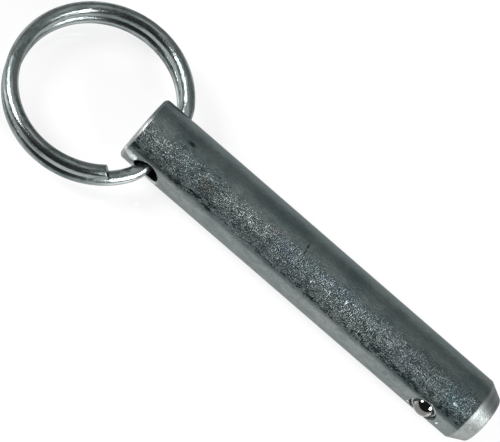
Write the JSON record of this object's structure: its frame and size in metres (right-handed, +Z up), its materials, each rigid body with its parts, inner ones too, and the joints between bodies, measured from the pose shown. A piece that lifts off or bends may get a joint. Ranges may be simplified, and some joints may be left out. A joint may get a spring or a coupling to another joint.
{
  "type": "hitch pin",
  "caption": "Straight round hitch pin with a tapered tip, a split pull ring through a cross hole at one end and a sprung detent ball near the other.",
  "frame": {"origin": "on the pin's axis, midway between the ring hole and the ball, where the clevis sits", "axes": "+X along the pin from the ring end to the tapered tip, +Z up as the pin lies on a bench, the ball looks out on the -Y side"},
  "size_m": [0.1043, 0.0334, 0.0126],
  "materials": {
    "zinc_steel": "bright zinc plate over turned steel, finely mottled",
    "zinc_wire": "smooth bright zinc plate on drawn wire",
    "polished_steel": "polished",
    "spring_steel": "drawn spring wire, bright"
  },
  "bodies": {
    "pin": {"pin_body": "zinc_steel", "detent_spring": "spring_steel"},
    "ring": {"split_ring": "zinc_wire"},
    "ball": {"detent_ball": "polished_steel"}
  },
  "joints": [
    {"name": "ring_swing", "type": "hinge", "parent": "pin", "child": "ring", "pos_m": [-0.0314, 0, 0], "axis": [0, 0.9962, 0.0872], "range_deg": [-157, 166]},
    {"name": "detent_press", "type": "slide", "parent": "pin", "child": "ball", "axis": [0, 0.9976, -0.0698], "range_m": [0, 0.0009], "stiffness_N_per_m": 4000, "springref_m": -0.003, "deforming": ["detent_spring"]}
  ]
}
